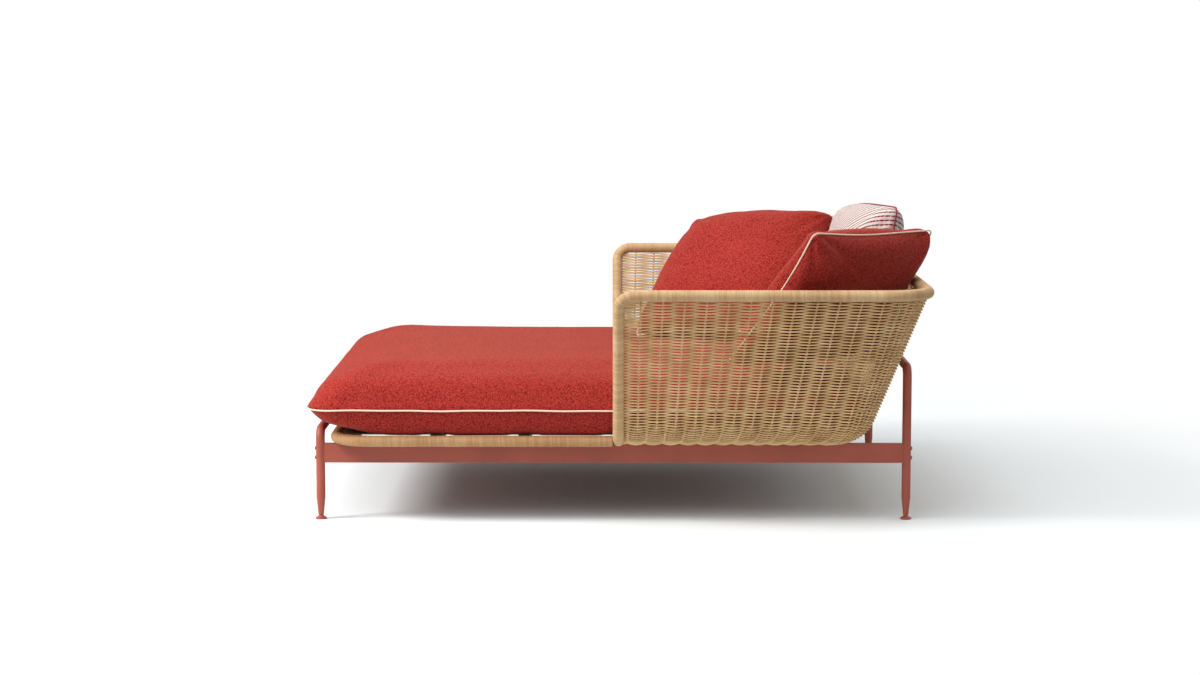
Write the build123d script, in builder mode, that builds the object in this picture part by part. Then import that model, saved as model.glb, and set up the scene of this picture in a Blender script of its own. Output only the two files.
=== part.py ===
"""Outdoor daybed: a painted steel under-frame, a cord-wrapped seat ring, a flared woven shell on a
wrapped hoop, a thick mattress and three loose cushions.

Millimetres. +Z is up and Z = 0 is the floor. +X points from the foot of the bed to its backrest,
and X = 0 and Y = 0 are the middle of the whole piece.
"""

import math
import os

from build123d import *

os.makedirs("parts", exist_ok=True)

# Painted frame: two bows of round tube joined by two flat side beams
tube_d = 23.0
tube_wall = 2.0
leg_y = 520.5
front_leg_x = -772.0
rear_leg_x = 734.0
front_bow_z = 232.0
rear_bow_z = 393.0
bow_bend_r = 26.0
beam_h = 50.0
beam_t = 15.0
beam_wall = 2.0
beam_bottom_z = 147.0

# Turned leg ends and the levelling feet that screw into them
tip_h = 45.0
tip_neck_d = 14.0
tip_spigot_h = 22.0
foot_d = 29.0
foot_rim_h = 3.2
foot_hub_d = 12.0
foot_h = 12.0
stem_d = 8.0
stem_length = 33.0
stem_clearance = 0.08
edge_round = 1.0

# Bolts through the legs, and the plugs inside the beams that they screw into
bolt_d = 6.0
bolt_head_d = 10.0
bolt_head_h = 3.0
bolt_hole_clearance = 0.2
bolt_pitch = 24.0
plug_length = 28.0

# Seat ring, its bars and slats
ring_core_d = 24.0
ring_wall = 2.0
wrap_t = 3.0
ring_y = 590.0
ring_front_x = -732.5
ring_corner_r = 95.0
bar_w = 30.0
front_bar_spread = 450.0
front_bar_inset = 36.0
front_bars = 3
rear_bar_spread = 350.0
rear_bars = 3
slat_w = 70.0
slat_pitch = 131.0
slats = 9
screw_d = 6.0
screw_head_d = 11.0
screw_length = 31.0
fit_gap = 0.3

# Shell: a hoop of wrapped tube, rod stakes and the woven wall
rim_z = 599.4
rim_y = 760.0
rim_x = 770.0
post_x = -6.0
rim_corner_r = 115.0
post_corner_r = 38.0
post_knee_r = 60.0
flare_angle = 20.9
wall_bend_r = 100.0
wall_t = 9.0
corner_narrowing_share = 0.38
stake_t = 5.0
stake_gap = 0.5
slot_start = 6.0
side_stakes = 12
back_stakes = 24
corner_stakes = 3
bend_steps = 5
post_foot_run = 67.0
wrap_foot_margin = 15.0

# Spacers between the rear bow and the shell's back
spacer_d = 16.0
spacer_y = 330.0

# Mattress
mattress_front_x = -805.0
mattress_back_x = 639.0
mattress_y = 616.0
mattress_top_z = 400.0
mattress_corner_r = 80.0
mattress_seam_rise = 66.0
piping_d = 5.5

# Cushions: sizes, then where the middle of each lies, which way it faces and how it leans and rolls.
# A rise is the middle's height over the mattress, as a share of half the cushion's leant height
cushion_w = 490.0
cushion_h = 440.0
cushion_t = 130.0
small_cushion_w = 400.0
small_cushion_t = 110.0
near_x = 534.4
near_y = -519.9
near_rise_share = 1.019067
near_facing_angle = 135.8
near_lean_angle = 38.4
near_roll_angle = 2.5
far_x = 322.6
far_y = 123.6
far_rise_share = 1.129081
far_facing_angle = 228.4
far_lean_angle = 46.4
far_roll_angle = 6.2
striped_x = 653.9
striped_y = -122.5
striped_rise_share = 0.940070
striped_facing_angle = 192.3
striped_lean_angle = 8.6
striped_roll_angle = 1.6

# Sizes that follow from the ones above
tube_r = tube_d / 2
bore_r = tube_r - tube_wall
beam_top_z = beam_bottom_z + beam_h
tip_top_z = foot_h + tip_h
wrap_r = ring_core_d / 2 + wrap_t
ring_z = beam_top_z + wrap_r
deck_z = ring_z + ring_core_d / 2
bar_h = deck_z - beam_top_z
slat_t = wrap_t
slat_top_z = deck_z + slat_t
flare = math.radians(flare_angle)
wall_floor_z = beam_top_z + wall_t / 2
wall_top_z = rim_z - wrap_r - fit_gap
loop_d = bar_h - wall_t - fit_gap
loop_z = deck_z - loop_d / 2


def bend_start(radius, floor_z):
    """Inset and height at which the flared wall begins to bend towards the level floor_z."""
    height = floor_z + radius * (1 - math.sin(flare))
    return (rim_z - height) * math.tan(flare), height


def wall_station(angle, shift):
    """Inset, height and corner radius of the wall's bend at an angle, shifted outwards."""
    inset, height = bend_start(wall_bend_r, wall_floor_z)
    inset += wall_bend_r * (math.cos(flare) - math.cos(angle))
    height -= wall_bend_r * (math.sin(angle) - math.sin(flare))
    radius = rim_corner_r - corner_narrowing_share * inset
    outwards = shift * math.cos(angle)
    return inset - outwards, height - shift * math.sin(angle), radius + outwards


def top_station(shift):
    """The same three numbers where the wall meets the rim."""
    inset = (rim_z - wall_top_z) * math.tan(flare)
    radius = rim_corner_r - corner_narrowing_share * inset
    outwards = shift / math.cos(flare)
    return inset - outwards, wall_top_z, radius + outwards


def wall_stations(shift):
    """Stations from the shell's floor up to the rim."""
    turn = math.pi / 2 - flare
    angles = [math.pi / 2 - turn * i / bend_steps for i in range(bend_steps + 1)]
    return [wall_station(angle, shift) for angle in angles] + [top_station(shift)]


loop_inset = wall_station(math.pi / 2, 0)[0]
wall_end_inset = loop_inset + loop_d / 2
loop_y = rim_y - loop_inset
loop_x = rim_x - loop_inset
loop_corner_r = rim_corner_r - corner_narrowing_share * loop_inset


# Bows: each is one tube, bent into two legs and the cross piece between them
def bow_path(x, top_z):
    with BuildLine() as path:
        FilletPolyline(
            (x, -leg_y, tip_top_z),
            (x, -leg_y, top_z),
            (x, leg_y, top_z),
            (x, leg_y, tip_top_z),
            radius=bow_bend_r,
        )
    return path


def leg_bolt_heights():
    middle = beam_bottom_z + beam_h / 2
    return (middle - bolt_pitch / 2, middle + bolt_pitch / 2)


def leg_holes(x):
    """Places of the bolt holes that run along X through both legs of a bow."""
    return [
        Location((x, y, z), (0, 90, 0)) for y in (-leg_y, leg_y) for z in leg_bolt_heights()
    ]


with BuildPart() as front_bow:
    with BuildSketch(Plane.XY.offset(tip_top_z).move(Location((front_leg_x, -leg_y, 0)))):
        Circle(tube_r)
        Circle(bore_r, mode=Mode.SUBTRACT)
    sweep(path=bow_path(front_leg_x, front_bow_z).wire())
    with Locations(*leg_holes(front_leg_x)):
        Cylinder(bolt_d / 2 + bolt_hole_clearance, 2 * tube_d, mode=Mode.SUBTRACT)
front_bow.part.label = "front_bow"
export_step(front_bow.part, "parts/front_bow.step")

with BuildPart() as rear_bow:
    with BuildSketch(Plane.XY.offset(tip_top_z).move(Location((rear_leg_x, -leg_y, 0)))):
        Circle(tube_r)
        Circle(bore_r, mode=Mode.SUBTRACT)
    sweep(path=bow_path(rear_leg_x, rear_bow_z).wire())
    with Locations(*leg_holes(rear_leg_x)):
        Cylinder(bolt_d / 2 + bolt_hole_clearance, 2 * tube_d, mode=Mode.SUBTRACT)
rear_bow.part.label = "rear_bow"
export_step(rear_bow.part, "parts/rear_bow.step")

# Turned ends: a spigot in the tube, a taper down to the neck, and a threaded bore for the foot
legs = [(x, y) for x in (front_leg_x, rear_leg_x) for y in (-leg_y, leg_y)]

with BuildPart() as leg_tips:
    with BuildSketch(Plane.XZ) as tip_profile:
        with BuildLine():
            Polyline(
                (stem_d / 2 + stem_clearance, foot_h),
                (tip_neck_d / 2, foot_h),
                (tube_r, tip_top_z),
                (bore_r, tip_top_z),
                (bore_r, tip_top_z + tip_spigot_h),
                (stem_d / 2 + stem_clearance, tip_top_z + tip_spigot_h),
                close=True,
            )
        make_face()
    tip = revolve(axis=Axis.Z, mode=Mode.PRIVATE)
    with Locations(*legs):
        add(tip)
leg_tips.part.label = "leg_tips"
export_step(leg_tips.part, "parts/leg_tips.step")


def levelling_foot(x, y):
    """A disc with a sloping top, a hub that stops against the leg, and a threaded stem."""
    with BuildPart() as foot:
        with BuildSketch(Plane(origin=(x, y, 0), x_dir=(1, 0, 0), z_dir=(0, -1, 0))) as profile:
            with BuildLine():
                Polyline(
                    (0, 0),
                    (foot_d / 2, 0),
                    (foot_d / 2, foot_rim_h),
                    (foot_hub_d / 2, foot_h - foot_rim_h),
                    (foot_hub_d / 2, foot_h),
                    (stem_d / 2, foot_h),
                    (stem_d / 2, foot_h + stem_length),
                    (0, foot_h + stem_length),
                    close=True,
                )
            make_face()
            rim = profile.vertices().group_by(Axis.X)[-1]
            fillet(rim, edge_round)
        revolve(axis=Axis((x, y, 0), (0, 0, 1)))
    return foot


foot_names = ("foot_front_right", "foot_front_left", "foot_rear_right", "foot_rear_left")
for foot_name, (x, y) in zip(foot_names, legs):
    levelling_screw = levelling_foot(x, y)
    levelling_screw.part.label = foot_name
    export_step(levelling_screw.part, f"parts/{foot_name}.step")


# Side beams: flat box tube, hollowed to fit the round legs
def leg_cylinders():
    return [Location((x, y, beam_bottom_z + beam_h / 2)) for x, y in legs]


bar_xs = [
    ring_front_x + front_bar_inset + i * front_bar_spread / (front_bars - 1)
    for i in range(front_bars)
]
shell_bar_xs = [
    loop_x - loop_corner_r - bar_w / 2 - i * rear_bar_spread / (rear_bars - 1)
    for i in range(rear_bars)
]


def ring_reach(x):
    """How far the seat ring's axis lies from the middle of the bed at a place along it."""
    into_corner = max(ring_front_x + ring_corner_r - x, 0)
    return ring_y - ring_corner_r + math.sqrt(ring_corner_r**2 - into_corner**2)


def screw_places(z):
    return [(x, y, z) for x in bar_xs + shell_bar_xs for y in (-leg_y, leg_y)]


def side_beam(y):
    with BuildPart() as beam:
        with BuildSketch(Plane.YZ.offset(front_leg_x)):
            with Locations((y, beam_bottom_z + beam_h / 2)):
                Rectangle(beam_t, beam_h)
                Rectangle(beam_t - 2 * beam_wall, beam_h - 2 * beam_wall, mode=Mode.SUBTRACT)
        extrude(amount=rear_leg_x - front_leg_x)
        with Locations(*leg_cylinders()):
            Cylinder(tube_r, 2 * beam_h, mode=Mode.SUBTRACT)
        with Locations(*screw_places(beam_top_z)):
            Cylinder(screw_d / 2, 2 * beam_wall, mode=Mode.SUBTRACT)
    return beam


side_beam_right = side_beam(-leg_y)
side_beam_right.part.label = "side_beam_right"
export_step(side_beam_right.part, "parts/side_beam_right.step")

side_beam_left = side_beam(leg_y)
side_beam_left.part.label = "side_beam_left"
export_step(side_beam_left.part, "parts/side_beam_left.step")

# Plugs in the beams' ends, threaded for the leg bolts
with BuildPart() as beam_plugs:
    for x, inwards in ((front_leg_x, 1), (rear_leg_x, -1)):
        middle = x + inwards * (tube_r + plug_length / 2)
        with Locations(*[(middle, y, beam_bottom_z + beam_h / 2) for y in (-leg_y, leg_y)]):
            Box(plug_length, beam_t - 2 * beam_wall, beam_h - 2 * beam_wall)
    with Locations(*leg_holes(front_leg_x), *leg_holes(rear_leg_x)):
        Cylinder(bolt_d / 2, 2 * (tube_d + plug_length), mode=Mode.SUBTRACT)
beam_plugs.part.label = "beam_plugs"
export_step(beam_plugs.part, "parts/beam_plugs.step")

# Leg bolts: the domed head is hollowed underneath to seat on the round leg
bolt_reach = tube_r + plug_length - bolt_head_h

with BuildPart() as leg_bolt:
    with BuildSketch():
        Circle(bolt_head_d / 2)
    extrude(amount=tube_r + bolt_head_h)
    fillet(leg_bolt.edges().group_by(Axis.Z)[-1], 2 * edge_round)
    with BuildSketch(Plane.YZ):
        Circle(tube_r)
    extrude(amount=tube_d, both=True, mode=Mode.SUBTRACT)
    with BuildSketch(Plane.XY.offset(-bolt_reach)):
        Circle(bolt_d / 2)
    extrude(amount=bolt_reach + tube_r + edge_round)
leg_bolt.part.label = "leg_bolt"

with BuildPart() as leg_bolts:
    for x, turn in ((front_leg_x, -90), (rear_leg_x, 90)):
        with Locations(
            *[Location((x, y, z), (0, turn, 0)) for y in (-leg_y, leg_y) for z in leg_bolt_heights()]
        ):
            add(leg_bolt.part)
leg_bolts.part.label = "leg_bolts"
export_step(leg_bolts.part, "parts/leg_bolts.step")


# Seat ring: one tube bent round the front of the seat, and its wound sleeve of cord
def ring_path(end_x):
    with BuildLine() as path:
        FilletPolyline(
            (end_x, -ring_y, ring_z),
            (ring_front_x, -ring_y, ring_z),
            (ring_front_x, ring_y, ring_z),
            (end_x, ring_y, ring_z),
            radius=ring_corner_r,
        )
    return path


ring_end_x = post_x - ring_core_d / 2
ring_wrap_end_x = post_x - wrap_r

with BuildPart() as seat_ring:
    with BuildSketch(Plane(origin=(ring_end_x, -ring_y, ring_z), z_dir=(-1, 0, 0))):
        Circle(ring_core_d / 2)
        Circle(ring_core_d / 2 - ring_wall, mode=Mode.SUBTRACT)
    sweep(path=ring_path(ring_end_x).wire())
seat_ring.part.label = "seat_ring"
export_step(seat_ring.part, "parts/seat_ring.step")

with BuildPart() as seat_ring_wrap:
    with BuildSketch(Plane(origin=(ring_wrap_end_x, -ring_y, ring_z), z_dir=(-1, 0, 0))):
        Circle(wrap_r)
        Circle(ring_core_d / 2, mode=Mode.SUBTRACT)
    sweep(path=ring_path(ring_wrap_end_x).wire())
    for x in bar_xs:
        with Locations((x, 0, deck_z - bar_h / 2)):
            Box(bar_w + 2 * fit_gap, 2 * ring_reach(x), bar_h, mode=Mode.SUBTRACT)
seat_ring_wrap.part.label = "seat_ring_wrap"
export_step(seat_ring_wrap.part, "parts/seat_ring_wrap.step")

# Cross bars: they lie on the beams and carry the slats
with BuildPart() as ring_space:
    with BuildSketch(Plane(origin=(post_x, -ring_y, ring_z), z_dir=(-1, 0, 0))):
        Circle(ring_core_d / 2)
    sweep(path=ring_path(post_x).wire())

with BuildPart() as deck_bars:
    for x in bar_xs:
        with Locations((x, 0, deck_z - bar_h / 2)):
            Box(bar_w, 2 * ring_reach(x), bar_h)
    with BuildSketch(Plane.XY.offset(beam_top_z)):
        RectangleRounded(-2 * ring_front_x, 2 * ring_y, ring_corner_r)
    extrude(amount=bar_h, mode=Mode.INTERSECT)
    add(ring_space.part, mode=Mode.SUBTRACT)
    with Locations(*[(x, 0, deck_z - bar_h / 2) for x in shell_bar_xs]):
        Box(bar_w, 2 * loop_y - loop_d, bar_h)
    with Locations(*screw_places(ring_z)):
        Cylinder(screw_d / 2 + bolt_hole_clearance, 2 * bar_h, mode=Mode.SUBTRACT)
deck_bars.part.label = "deck_bars"
export_step(deck_bars.part, "parts/deck_bars.step")

slat_front_x = ring_front_x + wrap_r + fit_gap
slat_back_x = loop_x + loop_d / 2

with BuildPart() as deck_slats:
    for i in range(slats):
        y = (i - (slats - 1) / 2) * slat_pitch
        with Locations(((slat_front_x + slat_back_x) / 2, y, deck_z + slat_t / 2)):
            Box(slat_back_x - slat_front_x, slat_w, slat_t)
    with BuildSketch(Plane.XY.offset(deck_z)):
        inside = wrap_r + fit_gap
        RectangleRounded(-2 * slat_front_x, 2 * (ring_y - inside), ring_corner_r - inside)
    extrude(amount=slat_t, mode=Mode.INTERSECT)
    with Locations(*screw_places(deck_z)):
        Cylinder(screw_head_d / 2 + bolt_hole_clearance, 2 * slat_t, mode=Mode.SUBTRACT)
deck_slats.part.label = "deck_slats"
export_step(deck_slats.part, "parts/deck_slats.step")

with BuildPart() as deck_screws:
    with BuildSketch(Plane.XZ):
        with BuildLine():
            Polyline(
                (screw_head_d / 2, 0),
                (screw_d / 2, 0),
                (screw_d / 2, -screw_length),
                (0, -screw_length),
                (0, slat_t - fit_gap),
            )
            RadiusArc((0, slat_t - fit_gap), (screw_head_d / 2, 0), screw_head_d)
        make_face()
    screw = revolve(axis=Axis.Z, mode=Mode.PRIVATE)
    with Locations(*screw_places(deck_z)):
        add(screw)
deck_screws.part.label = "deck_screws"
export_step(deck_screws.part, "parts/deck_screws.step")

# Hoop: one tube up a post, round the rim and down the other post
knee_y = rim_y - (rim_z - ring_z) * math.tan(flare)
post_foot_y = knee_y - post_foot_run
wrap_foot_y = post_foot_y + wrap_foot_margin


def hoop_path(foot_y):
    with BuildLine() as path:
        FilletPolyline(
            (post_x, -foot_y, ring_z),
            (post_x, -knee_y, ring_z),
            (post_x, -rim_y, rim_z),
            (rim_x, -rim_y, rim_z),
            (rim_x, rim_y, rim_z),
            (post_x, rim_y, rim_z),
            (post_x, knee_y, ring_z),
            (post_x, foot_y, ring_z),
            radius=[
                post_knee_r,
                post_corner_r,
                rim_corner_r,
                rim_corner_r,
                post_corner_r,
                post_knee_r,
            ],
        )
    return path


with BuildPart() as hoop_tube:
    with BuildSketch(Plane(origin=(post_x, -post_foot_y, ring_z), z_dir=(0, -1, 0))):
        Circle(ring_core_d / 2)
        Circle(ring_core_d / 2 - ring_wall, mode=Mode.SUBTRACT)
    sweep(path=hoop_path(post_foot_y).wire())
hoop_tube.part.label = "hoop_tube"
export_step(hoop_tube.part, "parts/hoop_tube.step")

with BuildPart() as hoop_wrap:
    with BuildSketch(Plane(origin=(post_x, -wrap_foot_y, ring_z), z_dir=(0, -1, 0))):
        Circle(wrap_r)
        Circle(ring_core_d / 2, mode=Mode.SUBTRACT)
    sweep(path=hoop_path(wrap_foot_y).wire())
    with Locations(
        *[Location((ring_end_x, y, ring_z), (0, -90, 0)) for y in (-ring_y, ring_y)]
    ):
        Cylinder(
            ring_core_d / 2 + fit_gap,
            ring_core_d,
            align=(Align.CENTER, Align.CENTER, Align.MIN),
            mode=Mode.SUBTRACT,
        )
hoop_wrap.part.label = "hoop_wrap"
export_step(hoop_wrap.part, "parts/hoop_wrap.step")

with BuildPart() as hoop_cross_tube:
    with BuildSketch(Plane.XZ.offset(-post_foot_y)):
        with Locations((post_x, ring_z)):
            Circle(ring_core_d / 2)
            Circle(ring_core_d / 2 - ring_wall, mode=Mode.SUBTRACT)
    extrude(amount=2 * post_foot_y)
hoop_cross_tube.part.label = "hoop_cross_tube"
export_step(hoop_cross_tube.part, "parts/hoop_cross_tube.step")

# Saddles: blocks that seat the cross tube on the side beams
with BuildPart() as tube_saddles:
    with Locations(*[(post_x, y, beam_top_z + wrap_r / 2) for y in (-leg_y, leg_y)]):
        Box(ring_core_d, beam_t, wrap_r)
    with Locations(Location((post_x, 0, ring_z), (90, 0, 0))):
        Cylinder(ring_core_d / 2, 2 * rim_y, mode=Mode.SUBTRACT)
tube_saddles.part.label = "tube_saddles"
export_step(tube_saddles.part, "parts/tube_saddles.step")

# Base loop: the rod round the shell's floor that the stakes end on
loop_start_x = post_x + ring_core_d / 2

with BuildPart() as base_loop:
    with BuildSketch(Plane(origin=(loop_start_x, -loop_y, loop_z), z_dir=(1, 0, 0))):
        Circle(loop_d / 2)
    with BuildLine() as loop_path:
        FilletPolyline(
            (loop_start_x, -loop_y, loop_z),
            (loop_x, -loop_y, loop_z),
            (loop_x, loop_y, loop_z),
            (loop_start_x, loop_y, loop_z),
            radius=loop_corner_r,
        )
    sweep(path=loop_path.wire())
base_loop.part.label = "base_loop"
export_step(base_loop.part, "parts/base_loop.step")

# The room that the wrapped hoop takes from the wall beside it
with BuildPart() as hoop_space:
    with BuildSketch(Plane(origin=(post_x, -wrap_foot_y, ring_z), z_dir=(0, -1, 0))):
        Circle(wrap_r + fit_gap)
    sweep(path=hoop_path(wrap_foot_y).wire())

# Woven wall: flared sides that bend under to a lip on the beams, with a slot inside for the stakes
wall_front_x = post_x + wrap_r + fit_gap


def shell_loft(shift):
    """The solid inside one skin of the wall, closed at the floor and at the rim."""
    with BuildPart() as body:
        for inset, height, radius in wall_stations(shift):
            with BuildSketch(Plane(origin=(((rim_x - inset) - rim_y) / 2, 0, height))):
                RectangleRounded(rim_x - inset + rim_y, 2 * (rim_y - inset), radius)
        loft(ruled=True)
    return body


slot_t = stake_t + 2 * stake_gap

with BuildPart() as stake_slot:
    add(shell_loft(slot_t / 2).part)
    add(shell_loft(-slot_t / 2).part, mode=Mode.SUBTRACT)
    split(bisect_by=Plane.YZ.offset(wall_front_x + slot_start), keep=Keep.TOP)

with BuildPart() as woven_wall:
    add(shell_loft(wall_t / 2).part)
    add(shell_loft(-wall_t / 2).part, mode=Mode.SUBTRACT)
    with BuildSketch(Plane(origin=(((rim_x - wall_end_inset) - rim_y) / 2, 0, beam_top_z))):
        RectangleRounded(
            rim_x - wall_end_inset + rim_y,
            2 * (rim_y - wall_end_inset),
            loop_corner_r - loop_d / 2,
        )
    extrude(amount=wall_t, mode=Mode.SUBTRACT)
    split(bisect_by=Plane.YZ.offset(wall_front_x), keep=Keep.TOP)
    add(stake_slot.part, mode=Mode.SUBTRACT)
    add(hoop_space.part, mode=Mode.SUBTRACT)
woven_wall.part.label = "woven_wall"
export_step(woven_wall.part, "parts/woven_wall.step")


# Stakes: upright rods that follow the wall and bend under with it
def stake_side(run_length, lean_share, shift):
    """One face of a stake: distances run from the rim place, and heights, shifted off the middle."""
    turn = math.pi / 2 - flare
    angles = [math.pi / 2 - turn * i / bend_steps for i in range(bend_steps + 1)]
    middle = [(loop_inset + stake_t, wall_floor_z, math.pi / 2)]
    middle += [wall_station(angle, 0)[:2] + (angle,) for angle in angles]
    middle += [top_station(0)[:2] + (flare,)]
    return [
        (run_length * inset - lean_share * shift * math.cos(angle), height - shift * math.sin(angle))
        for inset, height, angle in middle
    ]


def stake(rim_place, run, outwards):
    """A rod from the rim down. run is how far its plan place moves for each unit of inset."""
    run_length = math.hypot(*run)
    lean_share = -run_length / (run[0] * outwards[0] + run[1] * outwards[1])
    x_dir = (run[0] / run_length, run[1] / run_length, 0)
    tangent = Vector(outwards[1], -outwards[0], 0)
    outer = stake_side(run_length, lean_share, stake_t / 2)
    inner = stake_side(run_length, lean_share, -stake_t / 2)
    start = Vector(*rim_place, 0) - tangent * (stake_t / 2)
    with BuildPart() as rod:
        with BuildSketch(Plane(origin=start, x_dir=x_dir, z_dir=(x_dir[1], -x_dir[0], 0))):
            with BuildLine():
                Polyline(*outer, *reversed(inner), close=True)
            make_face()
        extrude(amount=stake_t, dir=tangent)
    return rod


def stake_places():
    """Plan place at the rim, plan run per unit of inset and outward direction, for every stake."""
    straight_x = rim_x - rim_corner_r
    straight_y = rim_y - rim_corner_r
    converging_share = 1 - corner_narrowing_share
    for side in (-1, 1):
        for i in range(side_stakes):
            along = (i + 1) / side_stakes
            place = (post_x + (straight_x - post_x) * along, side * rim_y)
            yield place, (-converging_share * along, -side), (0, side)
        for i in range(corner_stakes):
            angle = math.pi / 2 * (i + 1) / (corner_stakes + 1)
            along, out = math.cos(angle), math.sin(angle)
            place = (straight_x + rim_corner_r * along, side * (straight_y + rim_corner_r * out))
            run_x = -1 + corner_narrowing_share * (1 - along)
            run_y = -side * (1 - corner_narrowing_share * (1 - out))
            yield place, (run_x, run_y), (along, side * out)
    for i in range(back_stakes + 1):
        along = 2 * i / back_stakes - 1
        yield (rim_x, straight_y * along), (-1, -converging_share * along), (1, 0)


with BuildPart() as stakes:
    for place, run, outwards in stake_places():
        add(stake(place, run, outwards).part)
stakes.part.label = "stakes"
export_step(stakes.part, "parts/stakes.step")

# Spacers: short rods that tie the shell's back to the rear bow
back_x = rim_x - (rim_z - rear_bow_z) * math.tan(flare) + wall_t / 2 / math.cos(flare)

with BuildPart() as back_spacers:
    for y in (-spacer_y, 0, spacer_y):
        with BuildSketch(Plane(origin=(rear_leg_x, y, rear_bow_z), z_dir=(-1, 0, 0))):
            Circle(spacer_d / 2)
    extrude(amount=rear_leg_x - back_x + spacer_d)
    with Locations(Location((rear_leg_x, 0, rear_bow_z), (90, 0, 0))):
        Cylinder(tube_r, 2 * leg_y, mode=Mode.SUBTRACT)
    lean = (math.cos(flare), 0, -math.sin(flare))
    split(bisect_by=Plane(origin=(back_x, 0, rear_bow_z), z_dir=lean), keep=Keep.TOP)
back_spacers.part.label = "back_spacers"
export_step(back_spacers.part, "parts/back_spacers.step")

# Mattress: crowned above the piping, drawn in below it, lifted at the front to clear the bow
mattress_bottom_z = slat_top_z + fit_gap
seam_z = mattress_bottom_z + mattress_seam_rise
below = mattress_seam_rise
above = mattress_top_z - seam_z
groove_r = piping_d / 2 + fit_gap
# Height share of the band below or above the seam, then front, side and back insets in that band
lower_band_shares = (
    (0.0, 2.40, 0.79, 0.91),
    (0.12, 1.72, 0.42, 0.45),
    (0.44, 0.55, 0.16, 0.18),
)
upper_band_shares = (
    (0.0, 0.0, 0.0, 0.0),
    (0.45, 0.10, 0.10, 0.10),
    (0.77, 0.36, 0.36, 0.36),
    (0.93, 0.78, 0.78, 0.78),
    (1.0, 1.50, 1.40, 1.40),
)


def mattress_level(height, front, side, back):
    """One level outline of the mattress, drawn in from the seam's outline."""
    length = mattress_back_x - mattress_front_x - front - back
    middle = (mattress_front_x + front + mattress_back_x - back) / 2
    with BuildSketch(Plane(origin=(middle, 0, height))) as level:
        RectangleRounded(length, 2 * (mattress_y - side), mattress_corner_r)
    return level.sketch


def seam_cord(seam, radius):
    """A round cord that follows a closed seam."""
    with BuildPart() as cord:
        with BuildSketch(Plane(origin=seam @ 0, z_dir=seam % 0)):
            Circle(radius)
        sweep(path=seam)
    return cord


mattress_seam = mattress_level(seam_z, 0, 0, 0).wire()
mattress_piping = seam_cord(mattress_seam, piping_d / 2)
mattress_piping.part.label = "mattress_piping"
export_step(mattress_piping.part, "parts/mattress_piping.step")

with BuildPart() as mattress:
    levels = [
        mattress_level(mattress_bottom_z + rise * below, *[draw * below for draw in draws])
        for rise, *draws in lower_band_shares
    ] + [
        mattress_level(seam_z + rise * above, *[draw * above for draw in draws])
        for rise, *draws in upper_band_shares
    ]
    loft(levels, ruled=True)
    add(seam_cord(mattress_seam, groove_r).part, mode=Mode.SUBTRACT)
mattress.part.label = "mattress"
export_step(mattress.part, "parts/mattress.step")

# Cushion form: share of half the thickness, share of the size, and how far an edge bows outwards
cushion_corner_share = 0.08
cushion_level_shares = (
    (0.0, 1.0, -0.045),
    (0.42, 0.90, 0.005),
    (0.75, 0.72, 0.035),
    (0.94, 0.48, 0.05),
    (1.0, 0.25, 0.05),
)


def cushion_plane(place, facing_angle, lean_angle, roll_angle):
    """The seam's plane: facing angle, lean back from upright, and roll in the plane."""
    facing = math.radians(facing_angle)
    lean = math.radians(lean_angle)
    roll = math.radians(roll_angle)
    flat = Vector(math.cos(facing), math.sin(facing), 0)
    sideways = Vector(-math.sin(facing), math.cos(facing), 0)
    upwards = Vector(0, 0, 1)
    normal = flat * math.cos(lean) + upwards * math.sin(lean)
    rising = upwards * math.cos(lean) - flat * math.sin(lean)
    across = sideways * math.cos(roll) + rising * math.sin(roll)
    return Plane(origin=place, x_dir=across, z_dir=normal)


def cushion_outline(width, height, size_share, bow_share):
    """One level of a cushion: four bowed edges with rounded corners."""
    x = size_share * width / 2
    y = size_share * height / 2
    corners = [(-x, -y), (x, -y), (x, y), (-x, y)]
    with BuildSketch() as outline:
        with BuildLine():
            for i in range(4):
                start, end = corners[i], corners[(i + 1) % 4]
                reach = 1 + 2 * bow_share / size_share
                middle = ((start[0] + end[0]) / 2 * reach, (start[1] + end[1]) / 2 * reach)
                ThreePointArc(start, middle, end)
        make_face()
        fillet(outline.vertices(), cushion_corner_share * y)
    return outline.sketch


def cushion_piping(width, height, radius):
    """A cord sewn all round the seam."""
    return seam_cord(cushion_outline(width, height, *cushion_level_shares[0][1:]).wire(), radius)


def cushion(width, height, thickness):
    """A crowned pillow whose edges draw in between its corners, grooved for its piping."""
    back_shares = [(-depth, size, bow) for depth, size, bow in reversed(cushion_level_shares[1:])]
    with BuildPart() as pillow:
        levels = [
            cushion_outline(width, height, size, bow).moved(Location((0, 0, depth * thickness / 2)))
            for depth, size, bow in [*back_shares, *cushion_level_shares]
        ]
        loft(levels, ruled=True)
        add(cushion_piping(width, height, groove_r).part, mode=Mode.SUBTRACT)
    return pillow


def middle_z(height, lean_angle, rise_share):
    return mattress_top_z + rise_share * height / 2 * math.cos(math.radians(lean_angle))


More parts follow.
